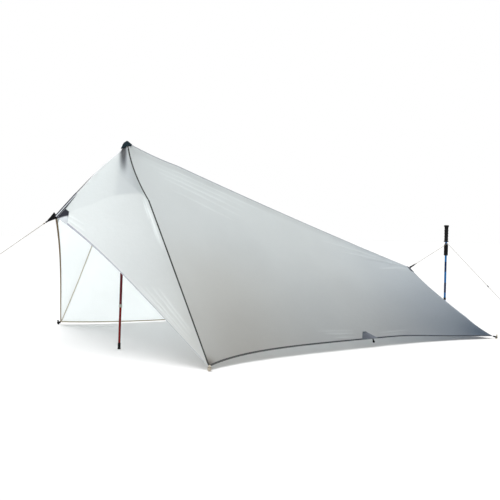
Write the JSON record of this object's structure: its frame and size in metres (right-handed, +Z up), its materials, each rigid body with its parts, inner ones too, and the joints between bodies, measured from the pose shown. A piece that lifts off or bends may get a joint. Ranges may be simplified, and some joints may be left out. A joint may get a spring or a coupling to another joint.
{
  "type": "camping tarp",
  "caption": "Shaped tarp pitched over a trekking pole, with a front beak, a ridge falling to a low rear edge, guylines and stakes.",
  "frame": {"origin": "centre of the front pole's foot, on the ground", "axes": "+X along the ridge towards the rear pole, +Z up, -Y towards the near side; the tarp's centre plane is at y = 0.21"},
  "size_m": [5.507, 2.17, 1.3876],
  "materials": {
    "cloth": "silicone coated ripstop nylon, slightly translucent",
    "tape": "bound seam and hem tape",
    "patch_cloth": "reinforcement cloth",
    "cap_cloth": "dark teal reinforcement cloth",
    "webbing": "woven nylon webbing",
    "cord": "braided guyline",
    "plastic": "moulded acetal",
    "rubber": "moulded rubber",
    "grip": "moulded grip",
    "foam": "foam sleeve",
    "stake_metal": "black anodised, extruded",
    "red_tube": "dark red anodised, drawn",
    "blue_tube": "blue anodised, drawn",
    "pale_collar": "moulded",
    "black_collar": "moulded"
  },
  "bodies": {
    "tarp": {"beak_ridge_seam": "tape", "far_beak_hem": "tape", "far_beak_panel": "cloth", "far_corner_loop": "webbing", "far_hip_seam": "tape", "far_main_panel": "cloth", "far_rear_hem": "tape", "far_rear_loop": "webbing", "far_side_hem": "tape", "far_side_loop": "webbing", "far_side_patch": "patch_cloth", "front_guyline": "cord", "front_line_lock": "plastic", "front_patch": "patch_cloth", "front_pole_foam": "foam", "front_pole_grip": "grip", "front_pole_upper_collar": "pale_collar", "front_pole_upper_tube": "red_tube", "front_tab": "webbing", "near_beak_hem": "tape", "near_beak_panel": "cloth", "near_corner_loop": "webbing", "near_hip_seam": "tape", "near_main_panel": "cloth", "near_rear_hem": "tape", "near_rear_loop": "webbing", "near_side_hem": "tape", "near_side_loop": "webbing", "near_side_patch": "patch_cloth", "peak_cap": "cap_cloth", "rear_guyline": "cord", "rear_line_lock": "plastic", "rear_patch": "patch_cloth", "rear_pole_foam": "foam", "rear_pole_grip": "grip", "rear_pole_upper_collar": "black_collar", "rear_pole_upper_tube": "blue_tube", "rear_tab": "webbing", "ridge_seam": "tape"},
    "front_pole_middle": {"front_pole_middle_tube": "red_tube", "front_pole_middle_expander": "plastic", "front_pole_lower_collar": "pale_collar"},
    "front_pole_lower": {"front_pole_lower_tube": "red_tube", "front_pole_lower_expander": "plastic", "front_pole_foot": "rubber"},
    "rear_pole_middle": {"rear_pole_middle_tube": "blue_tube", "rear_pole_middle_expander": "plastic", "rear_pole_lower_collar": "black_collar"},
    "rear_pole_lower": {"rear_pole_lower_tube": "blue_tube", "rear_pole_lower_expander": "plastic", "rear_pole_foot": "rubber"},
    "far_corner_stake": {"far_corner_stake": "stake_metal"},
    "far_rear_stake": {"far_rear_stake": "stake_metal"},
    "front_guy_stake": {"front_guy_stake": "stake_metal"},
    "near_corner_stake": {"near_corner_stake": "stake_metal"},
    "near_rear_stake": {"near_rear_stake": "stake_metal"},
    "rear_guy_stake": {"rear_guy_stake": "stake_metal"},
    "rear_line_runner": {"rear_line_runner": "plastic"}
  },
  "joints": [
    {"name": "front_pole_middle_slide", "type": "slide", "parent": "tarp", "child": "front_pole_middle", "axis": [-0.097, -0.1697, -0.9807], "range_m": [-0.3405, 0.0195]},
    {"name": "front_pole_lower_slide", "type": "slide", "parent": "front_pole_middle", "child": "front_pole_lower", "axis": [-0.097, -0.1697, -0.9807], "range_m": [-0.205, 0.122]},
    {"name": "rear_pole_middle_slide", "type": "slide", "parent": "tarp", "child": "rear_pole_middle", "axis": [0, 0, -1], "range_m": [-0.045, 0.315]},
    {"name": "rear_pole_lower_slide", "type": "slide", "parent": "rear_pole_middle", "child": "rear_pole_lower", "axis": [0, 0, -1], "range_m": [-0.055, 0.272]},
    {"name": "far_corner_stake_pull", "type": "slide", "parent": "tarp", "child": "far_corner_stake", "axis": [-0.094, 0.1854, 0.9781], "range_m": [0, 0.14]},
    {"name": "far_rear_stake_pull", "type": "slide", "parent": "tarp", "child": "far_rear_stake", "axis": [0.1253, 0.1659, 0.9781], "range_m": [0, 0.14]},
    {"name": "front_guy_stake_pull", "type": "slide", "parent": "tarp", "child": "front_guy_stake", "axis": [-0.2079, 0, 0.9781], "range_m": [0, 0.14]},
    {"name": "near_corner_stake_pull", "type": "slide", "parent": "tarp", "child": "near_corner_stake", "axis": [-0.0937, -0.1856, 0.9781], "range_m": [0, 0.14]},
    {"name": "near_rear_stake_pull", "type": "slide", "parent": "tarp", "child": "near_rear_stake", "axis": [0.1252, -0.166, 0.9781], "range_m": [0, 0.14]},
    {"name": "rear_guy_stake_pull", "type": "slide", "parent": "tarp", "child": "rear_guy_stake", "axis": [0.2079, 0, 0.9781], "range_m": [0, 0.14]},
    {"name": "rear_line_runner_slide", "type": "slide", "parent": "tarp", "child": "rear_line_runner", "axis": [0.8266, 0.0018, -0.5627], "range_m": [-0.25, 0.25]}
  ]
}
